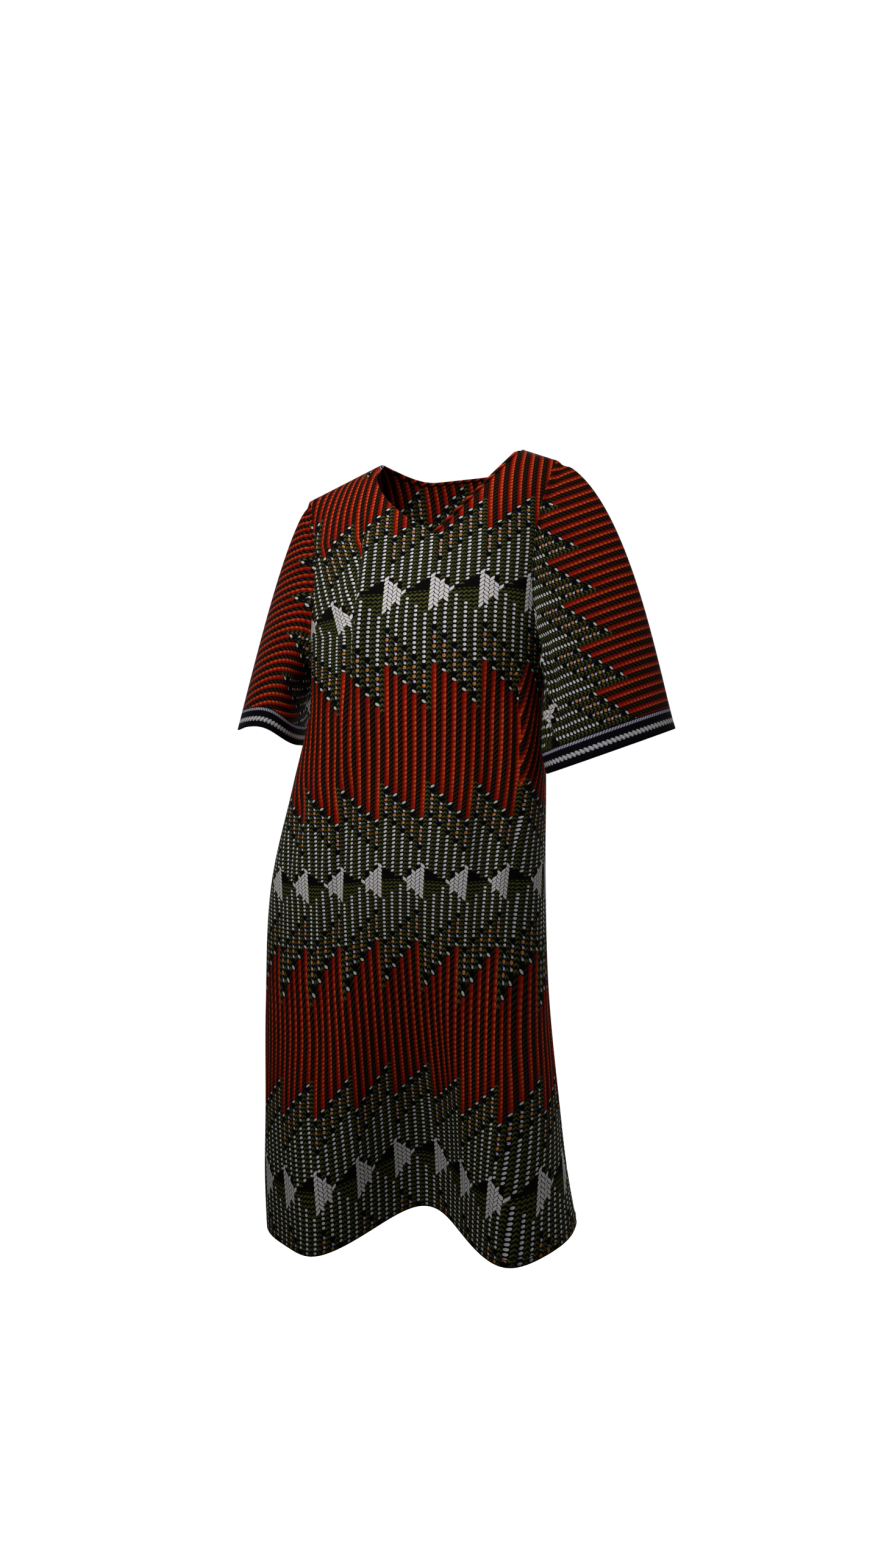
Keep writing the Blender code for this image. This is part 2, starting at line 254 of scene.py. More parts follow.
# A point's place on the print is measured along the curved cloth: u across from the middle line, v up from
# the hem, in metres
def clothLengths(panel, x, height, fall):
    heights = np.linspace(*ruler["heights"])
    turns = np.linspace(-0.5 * math.pi, 0.5 * math.pi, ruler["turns"])
    places = np.linspace(*ruler["places"])
    section = {name: values[:, None] for name, values in sectionAt(-heights).items()}
    xs = section["middleX"] + section["halfWidth"] * np.sin(turns)
    across = np.hypot(np.diff(xs, axis=1), np.diff(clothY(panel, xs, heights[:, None]), axis=1))
    across = np.hstack([np.zeros((len(heights), 1)), np.cumsum(across, axis=1)])
    depth = clothY(panel, places[None, :], heights[:, None])
    along = np.hypot(np.diff(heights)[:, None], np.diff(depth, axis=0))
    along = np.vstack([np.zeros((1, len(places))), np.cumsum(along, axis=0)])

    def read(table, columns, column, atHeight):
        column = np.clip((column - columns[0]) / (columns[1] - columns[0]), 0, len(columns) - 1.001)
        row = np.clip((atHeight - heights[0]) / (heights[1] - heights[0]), 0, len(heights) - 1.001)
        c, r = column.astype(int), row.astype(int)
        fc, fr = column - c, row - r
        upper = table[r, c] * (1 - fc) + table[r, c + 1] * fc
        lower = table[r + 1, c] * (1 - fc) + table[r + 1, c + 1] * fc
        return upper * (1 - fr) + lower * fr

    here = sectionAt(-height)
    turn = np.arcsin(np.clip((x - here["middleX"]) / here["halfWidth"], -1.0, 1.0))
    middleTurn = np.arcsin(np.clip(-here["middleX"] / here["halfWidth"], -1.0, 1.0))
    u = read(across, turns, turn, height) - read(across, turns, middleTurn, height)
    underarm = np.full_like(height, -form["underarmDrop"])
    skirt = form["hemDrop"] - form["underarmDrop"]
    up = skirt + read(along, places, x, underarm) - read(along, places, x, height)
    return u, np.where(height > -form["underarmDrop"], up, (1.0 - fall) * skirt)


# The print is counted in half columns across and in rows upward, from the middle of a band. Steps are counted
# along a column, away from the zigzag's edge
chart = {
    "halfColumn": 0.0066,
    "row": 0.0064,
    "bandRows": 64,
    "repeat": 10,
    "mirrorSum": 11.0,
    "hemRow": -140.0,
    "oliveRows": 14.0,
    "firstOliveMore": 11.0,
    "ovalsEnd": 7.5,
    "ticksAt": 11.0,
    "dotAt": 15.0,
    "ropeFrom": 15.5,
}

# How the folds have slid the print on the front. At drops below the shoulder: the rows that it lies higher
# along the middle, and the half columns that it gains for each metre to the side. Past lastFull, toward the
# wearer's left, it falls back again. Beyond the fold at the waist it gains one more repeat on the way down,
# and beyond the fold on the chest one more on the way up, where it also lies some rows lower
slide = {
    "drops": (0.0, 0.15, 0.30, 0.42, 0.54, 0.66, 0.78, 0.90, 1.08),
    "up": (12.0, 3.0, 1.0, 2.5, -0.5, -4.5, 0.5, -1.0, -1.0),
    "spread": (10.0, 3.0, 0.0, 5.0, 20.0, 36.0, 38.0, 20.0, 16.0),
    "middle": -0.04,
    "lastFull": 0.11,
    "fallBack": 65.0,
    "fallBackFrom": (0.20, 0.40),
    "waistFold": ((0.28, 0.098), (0.31, 0.108), (0.38, 0.112), (0.46, 0.111), (0.54, 0.112), (0.60, 0.110)),
    "waistGain": (0.29, 0.46),
    "chestFold": ((0.00, -0.110), (0.12, -0.105), (0.21, -0.099), (0.29, -0.108), (0.40, -0.100)),
    "chestGain": (0.11, 0.24),
    "chestRows": 5.0,
    "chestEnd": (0.22, 0.30),
}


# Single pulls that move the print: drop, place, reach down and across, half columns and rows that they add
pulls = (
    (0.00, -0.18, 0.09, 0.07, -3.0, -8.0),
    (0.26, -0.22, 0.11, 0.06, 5.5, 1.5),
    (0.20, 0.18, 0.12, 0.06, 0.0, 4.5),
    (0.68, 0.18, 0.14, 0.05, 0.0, 6.0),
)


def slideAt(x, drop):
    weights = curveWeights(slide["drops"], drop)
    fallBack = slide["fallBack"] * smoothstep(*slide["fallBackFrom"], drop)
    across = weights @ np.array(slide["spread"]) * (np.minimum(x, slide["lastFull"]) - slide["middle"])
    across = across - fallBack * np.maximum(0.0, x - slide["lastFull"])
    up = weights @ np.array(slide["up"])
    for pullDrop, place, down, wide, columns, rows in pulls:
        strength = np.exp(-(((drop - pullDrop) / down) ** 2) - ((x - place) / wide) ** 2)
        across = across + columns * strength
        up = up + rows * strength
    return across, up


# For the folds at waist and chest: whether a point lies beyond the fold, and what the print gains there
def foldGains(x, drop):
    waistAcross = np.interp(drop, slide["waistGain"], (0.0, chart["repeat"]))
    chestAcross = np.interp(drop, slide["chestGain"], (chart["repeat"], 0.0))
    chestUp = np.interp(drop, slide["chestEnd"], (slide["chestRows"], 0.0))
    beyondWaist = x > np.interp(drop, *zip(*slide["waistFold"]))
    beyondChest = x < np.interp(drop, *zip(*slide["chestFold"]))
    beyond = np.stack([beyondWaist, beyondChest], axis=-1)
    gains = np.stack([waistAcross, 0.0 * drop, chestAcross, chestUp], axis=-1)
    return beyond, gains.reshape(gains.shape[:-1] + (2, 2))


def sheetNormals(points, closed=False):
    if closed:
        across = np.roll(points, -1, axis=1) - np.roll(points, 1, axis=1)
    else:
        across = np.gradient(points, axis=1)
    normals = np.cross(across, np.gradient(points, axis=0))
    return normals / np.maximum(np.linalg.norm(normals, axis=2, keepdims=True), 1e-12)


# The cloth's wall, the rounding of its folded edges, and how deep they are turned in
turning = {"wall": 0.0009, "radius": 0.001, "rows": 3, "hem": 0.010, "neck": 0.008, "cuff": 0.010}


# Rows that carry an edge on round its fold and a little way back up the inside, and their way from the edge
def turnedRows(edge, inward, onward, depth):
    radius, rows = turning["radius"], turning["rows"]
    fold = [(0.3, 0.7), (1.0, 1.0), (1.7, 0.7), (2.0, 0.0)]  # inward and onward, in radii
    steps = [edge + radius * (a * inward + b * onward) for a, b in fold]
    steps += [edge + 2.0 * radius * inward - onward * depth * (i + 1) / rows for i in range(rows)]
    lengths = [radius * way for way in (0.8, 1.6, 2.4, 3.1)]
    lengths += [lengths[-1] + depth * (i + 1) / rows for i in range(rows)]
    return np.stack(steps), lengths


# A mesh of one or more grids. Each gives its points, its print coordinates and its place beside the cuff, the
# last two with one column more than the points where the grid is closed. In the first grid a face lies wholly
# on one side of each fold
def clothObject(name, grids, closed, outward, material, beyond=None, gains=None):
    verts, faces, prints, cuffs = [], [], [], []
    for number, (points, printed, cuff) in enumerate(grids):
        rows, columns = points.shape[:2]
        base = len(verts)
        verts += points.reshape(-1, 3).tolist()
        for r in range(rows - 1):
            for c in range(columns if closed else columns - 1):
                corners = [(r, c), (r + 1, c), (r + 1, c + 1), (r, c + 1)]
                if not outward:
                    corners.reverse()
                faces.append([base + a * columns + b % columns for a, b in corners])
                if beyond is not None and number == 0:
                    prints += [printed[a, b] + beyond[r, c] @ gains[a, b] for a, b in corners]
                else:
                    prints += [printed[a, b] for a, b in corners]
                cuffs += [cuff[a, b] for a, b in corners]
    mesh = bpy.data.meshes.new(name)
    mesh.from_pydata(verts, [], faces)
    for label, values in (("print", prints), ("cuff", cuffs)):
        layer = mesh.uv_layers.new(name=label)
        layer.data.foreach_set("uv", np.array(values, dtype=np.float32).ravel())
    mesh.shade_smooth()
    mesh.materials.append(material)
    cloth = bpy.data.objects.new(name, mesh)
    bpy.context.scene.collection.objects.link(cloth)
    return cloth


# Shader arithmetic on sockets, so that the print's rules read as sums
class Wire:
    tree = None

    def __init__(self, socket):
        self.socket = socket

    def __add__(self, other):
        return calc("ADD", self, other)

    def __sub__(self, other):
        return calc("SUBTRACT", self, other)

    def __rsub__(self, other):
        return calc("SUBTRACT", other, self)

    def __mul__(self, other):
        return calc("MULTIPLY", self, other)

    def __truediv__(self, other):
        return calc("MULTIPLY", self, 1.0 / other)


def feed(socket, value):
    if isinstance(value, Wire):
        Wire.tree.links.new(value.socket, socket)
    else:
        socket.default_value = value


def calc(kind, *values, clamp=False):
    node = Wire.tree.nodes.new("ShaderNodeMath")
    node.operation = kind
    node.use_clamp = clamp
    for slot, value in enumerate(values):
        feed(node.inputs[slot], value)
    return Wire(node.outputs[0])


def paint(below, above, share):
    node = Wire.tree.nodes.new("ShaderNodeMix")
    node.data_type = "RGBA"
    feed(node.inputs[0], share)
    for slot, colour in ((6, below), (7, above)):
        feed(node.inputs[slot], sRgb(colour) if isinstance(colour, str) else colour)
    return Wire(node.outputs[2])


def over(value, edge, soft=0.05):
    return calc("MULTIPLY_ADD", value, 1.0 / soft, 0.5 - edge / soft, clamp=True)


def under(value, edge, soft=0.05):
    return calc("MULTIPLY_ADD", value, -1.0 / soft, 0.5 + edge / soft, clamp=True)


def size(value):
    return calc("ABSOLUTE", value)


def part(value):
    return calc("FRACT", value)


def less(a, b):
    return calc("LESS_THAN", a, b)


def more(a, b):
    return calc("GREATER_THAN", a, b)


def near(value, target, reach=0.5):
    return calc("COMPARE", value, target, reach)


def blob(x, y, atX, atY, halfX, halfY, soft=0.3):
    dx = (x - atX) / halfX
    dy = (y - atY) / halfY
    return under(dx * dx + dy * dy, 1.0, soft)


def between(low, high, share):
    return low + (high - low) * share


def uvWires(name):
    node = Wire.tree.nodes.new("ShaderNodeUVMap")
    node.uv_map = name
    split = Wire.tree.nodes.new("ShaderNodeSeparateXYZ")
    Wire.tree.links.new(node.outputs[0], split.inputs[0])
    return Wire(split.outputs[0]), Wire(split.outputs[1])


dyes = {
    "ground": "#0a0805",
    "olive": ("#585c2c", "#444821"),
    "strokeGround": "#0c0402",
    "stroke": "#40321a",
    "ovalGround": "#08070b",
    "oval": ("#c2c0cc", "#f8f5f0"),
    "disc": ("#b87338", "#dc9a58"),
    "tick": "#7c84c4",
    "tickHead": "#d8d4e2",
    "dot": "#e2deda",
    "rope": ("#800a03", "#b01b08"),
    "ropeGap": "#4a0a04",
    "bead": "#c43c12",
    "beadLight": "#d8744a",
    "triangle": "#0b080a",
    "braidGround": "#0c0a0e",
    "braid": ("#f0e7db", "#e4e2ec"),
    "border": "#0c0b14",
    "borderBead": ("#b9b6c6", "#ece7e2"),
    "borderRope": "#c4c1d6",
}


# The print: bands of white herringbone and dark triangles set in zigzags of ovals, with beaded red ropes and
# dark strokes between the bands. Every other band is mirrored. u counts half columns and v counts rows
def printColour(u, v):
    band = calc("ROUND", v / chart["bandRows"])
    r = v - band * chart["bandRows"]
    mirrored = calc("PINGPONG", band, 1.0)
    turned = calc("FLOORED_MODULO", u + mirrored * (chart["mirrorSum"] - u * 2.0), chart["repeat"])
    j = calc("FLOOR", turned)
    inner = turned - j
    x = part(u)
    m = calc("FLOOR", size(r))
    y = part(r) - 0.5
    odd = calc("MODULO", j, 2.0)
    t = m - j + 1.0
    aboveLine = more(r, 0.0)

    # Olive chevrons, and dark strokes farther out, on the narrow columns
    chevron = under(size(part(r + size(x - 0.5) * 0.9) - 0.5), 0.22, 0.08)
    olive = paint(dyes["ground"], paint(*dyes["olive"], more(x, 0.5)), chevron)
    stroke = under(size(part(r - x * 1.1) - 0.5), 0.16, 0.08) * under(size(x - 0.5), 0.35, 0.08)
    strokes = paint(dyes["strokeGround"], dyes["stroke"], stroke)
    reach = j + chart["oliveRows"] + less(j, 0.5) * chart["firstOliveMore"]
    even = paint(strokes, olive, less(m, reach))

    # Ovals, ticks, discs and a dot, then the rope, on the broad columns
    shear = aboveLine * 0.40 - 0.05
    oval = paint(*dyes["oval"], over(x, 0.42, 0.5))
    ovals = blob(x - y * shear, y, 0.5, 0.0, 0.37, 0.31) * less(t, chart["ovalsEnd"])
    main = paint(dyes["ovalGround"], oval, ovals)
    step = size(t - chart["ticksAt"])
    discs = blob(x, y, 0.5, 0.0, 0.37, 0.37) * near(step, 1.0)
    main = paint(main, paint(*dyes["disc"], over(x, 0.5, 0.5)), discs)
    ticks = less(step, 2.5) * (1.0 - near(step, 1.0))
    main = paint(main, dyes["tick"], blob(x + y * 0.8, y, 0.56, 0.17, 0.12, 0.24) * ticks)
    main = paint(main, dyes["tickHead"], blob(x, y, 0.62, -0.10, 0.27, 0.27) * ticks)
    tilt = aboveLine * 0.9 - 0.45
    dot = blob(x, y - (x - 0.5) * tilt, 0.5, 0.0, 0.42, 0.28) * near(t, chart["dotAt"])
    main = paint(main, dyes["dot"], dot)
    rope = paint(*dyes["rope"], over(x, 0.5, 0.9))
    rope = paint(rope, dyes["ropeGap"], blob(x, y, 0.16, 0.42, 0.2, 0.14))
    bead = blob(x, y, 0.70, 0.0, 0.31, 0.40) * over(t, 18.0, 5.0)
    rope = paint(rope, dyes["bead"], bead)
    rope = paint(rope, dyes["beadLight"], blob(x, y, 0.82, 0.1, 0.14, 0.2) * bead)
    main = paint(main, rope, more(t, chart["ropeFrom"]))

    # The open ground inside the zigzag
    ground = paint(dyes["ground"], olive, less(r, 0.2) * more(j, 4.5))
    nearLimit = 4.5 - j * 0.5
    farLimit = between(j * 0.5 - 1.5, j - 4.0, less(r, 0.0))
    limit = between(farLimit, nearLimit, less(j, 4.0))
    main = paint(main, ground, less(m, limit))
    colour = paint(even, main, odd)
    triangle = more(j, 4.5) * more(r, 0.2) * less(r, (j - 4.5) * 0.75)
    colour = paint(colour, dyes["triangle"], triangle)

    # The herringbone
    tilted = (odd * 2.0 - 1.0) * (inner - 0.5) * 0.8 + r
    tilted = tilted + near(j, 1.0) * 0.35 - near(j, 2.0) * 0.2 + near(j, 3.0) * 0.25 - near(j, 4.0) * 0.25
    strand = calc("ROUND", tilted)
    third = near(j, 3.0) * 0.5
    shown = less(size(strand + third), 4.4 - j + third) * less(j, 4.5)
    colour = paint(colour, dyes["braidGround"], shown)
    tint = paint(*dyes["braid"], over(inner, 0.5, 0.8))
    off = size(tilted - strand)
    rounded = under(size(inner - 0.5) + off * off * 1.1, 0.5, 0.05)  # the strands' ends are round
    return paint(colour, tint, under(off, 0.41, 0.12) * rounded * shown)


# The border printed along the sleeve's edge: dark, a beaded white rope, dark, a thin twisted rope
border = {
    "wide": 0.0285,
    "bead": 0.0062,
    "beadRow": 0.007,
    "twist": 0.0042,
    "ropeAt": 0.0250,
    "ropeHalf": 0.0018,
}


def borderColour(colour, distance, around):
    colour = paint(colour, dyes["border"], under(distance, border["wide"], 0.0008))
    slope = part((around + distance * 0.5) / border["bead"])
    beads = blob(slope, distance / border["beadRow"], 0.5, 1.57, 0.46, 0.50)
    colour = paint(colour, paint(*dyes["borderBead"], over(slope, 0.4, 0.4)), beads)
    twist = part((around - distance * 0.9) / border["twist"])
    thin = under(size(distance - border["ropeAt"]), border["ropeHalf"], 0.0006)
    thin = thin * under(size(twist - 0.5), 0.34, 0.12)
    return paint(colour, dyes["borderRope"], thin)


# The cloth's tone: a fine mottle and a slow fade on top of the brightness, and threads to a half column. The
# sleeves' lower brightness is painted shade: the same cloth made darker where less light falls on the sleeves
cotton = {
    "bodyBrightness": 0.72,
    "sleevePaintedShadeBrightness": 0.56,
    "mottleScale": 900.0,
    "mottle": 0.24,
    "fadeScale": 26.0,
    "fade": 0.12,
    "threadsAcross": 14.0,
    "threadsUp": 13.0,
    "bump": 0.35,
    "bumpDepth": 0.0003,
}


def clothMaterial(name, bordered, brightness):
    material = bpy.data.materials.new(name)
    material.use_nodes = True
    Wire.tree = material.node_tree
    nodes = material.node_tree.nodes
    shader = nodes["Principled BSDF"]
    shader.inputs["Roughness"].default_value = 0.85
    shader.inputs["Specular IOR Level"].default_value = 0.06
    u, v = uvWires("print")
    colour = printColour(u, v)
    if bordered:
        distance, around = uvWires("cuff")
        colour = borderColour(colour, distance, around)
    place = nodes.new("ShaderNodeTexCoord")
    mottle = nodes.new("ShaderNodeTexNoise")
    mottle.inputs["Scale"].default_value = cotton["mottleScale"]
    mottle.inputs["Detail"].default_value = 2.0
    Wire.tree.links.new(place.outputs["Object"], mottle.inputs["Vector"])
    fade = nodes.new("ShaderNodeTexNoise")
    fade.inputs["Scale"].default_value = cotton["fadeScale"]
    Wire.tree.links.new(place.outputs["Object"], fade.inputs["Vector"])
    tone = Wire(mottle.outputs["Fac"]) * cotton["mottle"]
    tone = tone + Wire(fade.outputs["Fac"]) * cotton["fade"] + brightness
    shade = nodes.new("ShaderNodeVectorMath")
    shade.operation = "SCALE"
    Wire.tree.links.new(colour.socket, shade.inputs[0])
    Wire.tree.links.new(tone.socket, shade.inputs["Scale"])
    Wire.tree.links.new(shade.outputs[0], shader.inputs["Base Color"])
    threads = calc("SINE", u * (2.0 * math.pi * cotton["threadsAcross"]))
    threads = threads + calc("SINE", v * (2.0 * math.pi * cotton["threadsUp"]))
    height = threads * 0.5 + Wire(mottle.outputs["Fac"])
    bump = nodes.new("ShaderNodeBump")
    bump.inputs["Strength"].default_value = cotton["bump"]
    bump.inputs["Distance"].default_value = cotton["bumpDepth"]
    Wire.tree.links.new(height.socket, bump.inputs["Height"])
    Wire.tree.links.new(bump.outputs[0], shader.inputs["Normal"])
    return material


def threadMaterial():
    material = bpy.data.materials.new("dark thread")
    material.use_nodes = True
    nodes, links = material.node_tree.nodes, material.node_tree.links
    shader = nodes["Principled BSDF"]
    shader.inputs["Roughness"].default_value = 0.6
    place = nodes.new("ShaderNodeTexCoord")
    ply = nodes.new("ShaderNodeTexWave")
    ply.bands_direction = "DIAGONAL"
    ply.inputs["Scale"].default_value = 900.0
    links.new(place.outputs["Object"], ply.inputs["Vector"])
    tone = nodes.new("ShaderNodeValToRGB")
    tone.color_ramp.elements[0].color = sRgb("#15100d")
    tone.color_ramp.elements[1].color = sRgb("#3a2f28")
    links.new(ply.outputs["Fac"], tone.inputs["Fac"])
    links.new(tone.outputs["Color"], shader.inputs["Base Color"])
    bump = nodes.new("ShaderNodeBump")
    bump.inputs["Strength"].default_value = 0.4
    bump.inputs["Distance"].default_value = 0.0001
    links.new(ply.outputs["Fac"], bump.inputs["Height"])
    links.new(bump.outputs[0], shader.inputs["Normal"])
    return material


materials = {
    "body": clothMaterial("body print", False, cotton["bodyBrightness"]),
    # The sleeves' print is made darker than the body's: painted shade
    "sleeve": clothMaterial("sleeve print with painted shade", True, cotton["sleevePaintedShadeBrightness"]),
    "thread": threadMaterial(),
}
print("materials made")


def solidify(cloth):
    wall = cloth.modifiers.new("wall", "SOLIDIFY")
    wall.thickness = turning["wall"]
    wall.offset = -1.0
    wall.use_even_offset = False


# Topstitching: the thread, how far apart the stitches are, and how far in from each edge they run
stitching = {
    "thread": 0.0004,
    "length": 0.0023,
    "pitch": 0.0031,
    "lift": 0.0001,
    "fromHem": 0.011,
    "fromNeck": 0.007,
    "fromCuff": 0.009,
}


def stitchTree():
    tree = bpy.data.node_groups.new("topstitching", "GeometryNodeTree")
    tree.interface.new_socket("Line", in_out="INPUT", socket_type="NodeSocketGeometry")
    kinds = {key: "NodeSocketFloat" for key in ("thread", "length", "pitch")}
    kinds["finish"] = "NodeSocketMaterial"
    inputs = {}
    for name, kind in kinds.items():
        inputs[name] = tree.interface.new_socket(name, in_out="INPUT", socket_type=kind).identifier
    tree.interface.new_socket("Stitches", in_out="OUTPUT", socket_type="NodeSocketGeometry")
    nodes, links = tree.nodes, tree.links
    given = nodes.new("NodeGroupInput")
    curve = nodes.new("GeometryNodeMeshToCurve")
    spots = nodes.new("GeometryNodeCurveToPoints")
    spots.mode = "LENGTH"
    stitch = nodes.new("GeometryNodeMeshUVSphere")
    stitch.inputs["Segments"].default_value = 6
    stitch.inputs["Rings"].default_value = 5
    stitch.inputs["Radius"].default_value = 0.5
    girth = nodes.new("ShaderNodeCombineXYZ")
    place = nodes.new("GeometryNodeInstanceOnPoints")
    real = nodes.new("GeometryNodeRealizeInstances")
    finish = nodes.new("GeometryNodeSetMaterial")
    result = nodes.new("NodeGroupOutput")
    links.new(given.outputs["Line"], curve.inputs[0])
    links.new(curve.outputs[0], spots.inputs["Curve"])
    links.new(given.outputs["pitch"], spots.inputs["Length"])
    links.new(spots.outputs["Points"], place.inputs["Points"])
    links.new(stitch.outputs["Mesh"], place.inputs["Instance"])
    links.new(spots.outputs["Rotation"], place.inputs["Rotation"])
    for slot, name in enumerate(("thread", "thread", "length")):
        links.new(given.outputs[name], girth.inputs[slot])
    links.new(girth.outputs[0], place.inputs["Scale"])
    links.new(place.outputs[0], real.inputs[0])
    links.new(real.outputs[0], finish.inputs["Geometry"])
    links.new(given.outputs["finish"], finish.inputs["Material"])
    links.new(finish.outputs[0], result.inputs[0])
    return tree, inputs


stitchNodes, stitchInputs = stitchTree()


# Lengths along a grid's rows or columns, from its first one
def arcLengths(points, axis):
    steps = np.linalg.norm(np.diff(points, axis=axis), axis=2)
    lengths = np.cumsum(steps, axis=axis)
    pad = [(0, 0), (0, 0)]
    pad[axis] = (1, 0)
    return np.pad(lengths, pad)


# A line on a sheet, a set way in from its first row and standing a little proud of it
def lineFromEdge(points, outward, away):
    lengths = arcLengths(points, 0)
    lifted = points + stitching["lift"] * outward
    line = np.zeros((points.shape[1], 3))
    for c in range(points.shape[1]):
        for axis in range(3):
            line[c, axis] = np.interp(away, lengths[:, c], lifted[:, c, axis])
    return line


def sewStitches(name, lines):
    verts, edges = [], []
    for line, closed in lines:
        base, count = len(verts), len(line)
        verts += line.tolist()
        edges += [(base + i, base + (i + 1) % count) for i in range(count if closed else count - 1)]
    mesh = bpy.data.meshes.new(name + "_line")
    mesh.from_pydata(verts, edges, [])
    guide = bpy.data.objects.new(name + "_line", mesh)
    bpy.context.scene.collection.objects.link(guide)
    sewing = guide.modifiers.new("sewing", "NODES")
    sewing.node_group = stitchNodes
    for key in ("thread", "length", "pitch"):
        sewing[stitchInputs[key]] = stitching[key]
    sewing[stitchInputs["finish"]] = materials["thread"]
    evaluated = guide.evaluated_get(bpy.context.evaluated_depsgraph_get())
    stitches = bpy.data.objects.new(name, bpy.data.meshes.new_from_object(evaluated))
    bpy.data.objects.remove(guide)
    stitches.data.shade_smooth()
    bpy.context.scene.collection.objects.link(stitches)
    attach(stitches, "root")
    return stitches


# Front and back: columns between the corners of the top edge, rows above and below the underarm
panelGrids = {"front": ((26, 26, 28, 24), 66, 150), "back": ((22, 20, 22, 20), 66, 110)}


def fitPrint(panel, x, height, fall):
    u, v = clothLengths(panel, x, height, fall)
    printU = u / chart["halfColumn"]
    printV = v / chart["row"] + chart["hemRow"]
    if panel == "front":
        across, up = slideAt(x, -height)
        printU = printU + across
        printV = printV + up
    return np.stack([printU, printV], axis=-1)


def panelSheet(panel):
    counts, above, below = panelGrids[panel]
    shares = columnShares(counts)
    x, height, fall = panelPlaces(panel, shares, above, below)
    points = panelPoints(panel, x, height)
    printed = fitPrint(panel, x, height, fall)
    beyond, gains = foldGains(x, -height) if panel == "front" else (None, None)
    normals = sheetNormals(points)
    inward = normals if panel == "front" else -normals
    grids = [(points, printed, printed * 0.0)]
    rows, lengths = turnedRows(points[-1], inward[-1], np.array((0.0, 0.0, -1.0)), turning["hem"])
    turned = np.concatenate([points[-1:], rows])
    down = np.array([0.0] + lengths)[:, None] / chart["row"]
    hemU = np.broadcast_to(printed[-1:, :, 0], turned.shape[:2])
    turnedPrint = np.stack([hemU, printed[-1:, :, 1] - down], axis=-1)
    grids.append((turned, turnedPrint, turnedPrint * 0.0))
    first, last = counts[0], counts[0] + counts[1] + counts[2] + 1
    neck = points[0, first:last]
    onward = neck - points[1, first:last]
    onward = onward / np.linalg.norm(onward, axis=1, keepdims=True)
    rows, lengths = turnedRows(neck, inward[1, first:last], onward, turning["neck"])
    turned = np.concatenate([neck[None], rows])
    up = np.array([0.0] + lengths)[:, None] / chart["row"]
    neckU = np.broadcast_to(printed[:1, first:last, 0], turned.shape[:2])
    neckPrint = np.stack([neckU, printed[:1, first:last, 1] + up], axis=-1)
    grids.append((turned[::-1], neckPrint[::-1], neckPrint * 0.0))
    cloth = clothObject("fabric_" + panel, grids, False, panel == "front", materials["body"], beyond, gains)
    solidify(cloth)
    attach(cloth, "root")
    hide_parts(panel)
    hemLine = lineFromEdge(points[::-1], -inward[::-1], stitching["fromHem"])
    neckLine = lineFromEdge(points[:, first:last], -inward[:, first:last], stitching["fromNeck"])
    stitches = sewStitches("stitches_" + panel, [(hemLine, False), (neckLine, False)])
    return cloth, points, stitches


sheets = {}
for panel in ("front", "back"):
    sheets[panel] = panelSheet(panel)
print("front and back made")


# Creases on the sleeves: distance from the cuff and around from the underarm at both ends, how far they stand
# out, half width
sleeveCreases = (
    ("left", (0.165, 0.030), (0.163, 0.125), -0.004, 0.009),
    ("left", (0.140, 0.025), (0.138, 0.110), 0.003, 0.009),
    ("left", (0.112, 0.025), (0.105, 0.120), -0.004, 0.009),
    ("left", (0.050, 0.030), (0.055, 0.085), -0.004, 0.010),
    ("left", (0.215, 0.060), (0.225, 0.130), -0.003, 0.009),
    ("left", (0.205, 0.018), (0.020, 0.012), 0.0025, 0.010),
    ("left", (0.205, 0.052), (0.015, 0.040), -0.011, 0.008),
    ("left", (0.185, 0.072), (0.030, 0.060), 0.003, 0.008),
    ("left", (0.170, 0.090), (0.070, 0.078), -0.006, 0.007),
    ("left", (0.095, 0.062), (0.018, 0.092), -0.005, 0.008),
    ("right", (0.150, 0.020), (0.120, 0.080), -0.003, 0.010),
    ("right", (0.100, 0.020), (0.060, 0.075), -0.003, 0.010),
)
seamDip = {"at": 0.011, "halfWidth": 0.007, "depth": 0.003}  # the cloth dips beside the armhole seam

# Both sleeves: how the cloth spreads from the armhole, and the grid that it is made on
sleeveForm = {"spread": 2.0, "offset": 0.0002, "topRound": 1.5, "topNarrow": 3, "armholeSteps": 28}
sleeveGrid = {"turns": 145, "rows": 81, "girthRow": 45}

# Each sleeve: the middle of the hem, the steps from there to its outer and front edge, where it hangs down or
# lifts over the arm (turn from under the arm, how far down, half width in turns), how the cloth leaves the
# armhole and nears the hem, and how the print lies on it
sleeves = {
    "left": {
        "side": 1.0,
        "hemMiddle": (0.2275, -0.040, -0.400),
        "toOuter": (0.0835, 0.010, 0.0310),
        "toFront": (-0.004, -0.062, 0.000),
        "waves": (),
        "topFall": 0.34,
        "underFall": 6.00,
        "topOffset": 0.0,
        "leaveTop": 0.31,
        "leaveUnder": 0.16,
        "arrive": 0.15,
        "print": {"column": 3.4, "row": -8.9, "halfColumn": -0.0062, "rowWidth": 0.0054, "turn": 2.5},
    },
    "right": {
        "side": -1.0,
        "hemMiddle": (-0.2720, -0.004, -0.3865),
        "toOuter": (-0.0450, 0.000, 0.0150),
        "toFront": (0.006, -0.081, -0.002),
        "waves": ((1.40, -0.020, 0.80), (2.90, 0.006, 0.55)),
        "topFall": 1.29,
        "underFall": 1.10,
        "topOffset": 0.0007,
        "leaveTop": 0.255,
        "leaveUnder": 0.16,
        "arrive": 0.065,
        "print": {"column": -6.6, "row": 15.7, "halfColumn": 0.0061, "rowWidth": 0.0074, "turn": 43.0},
    },
}


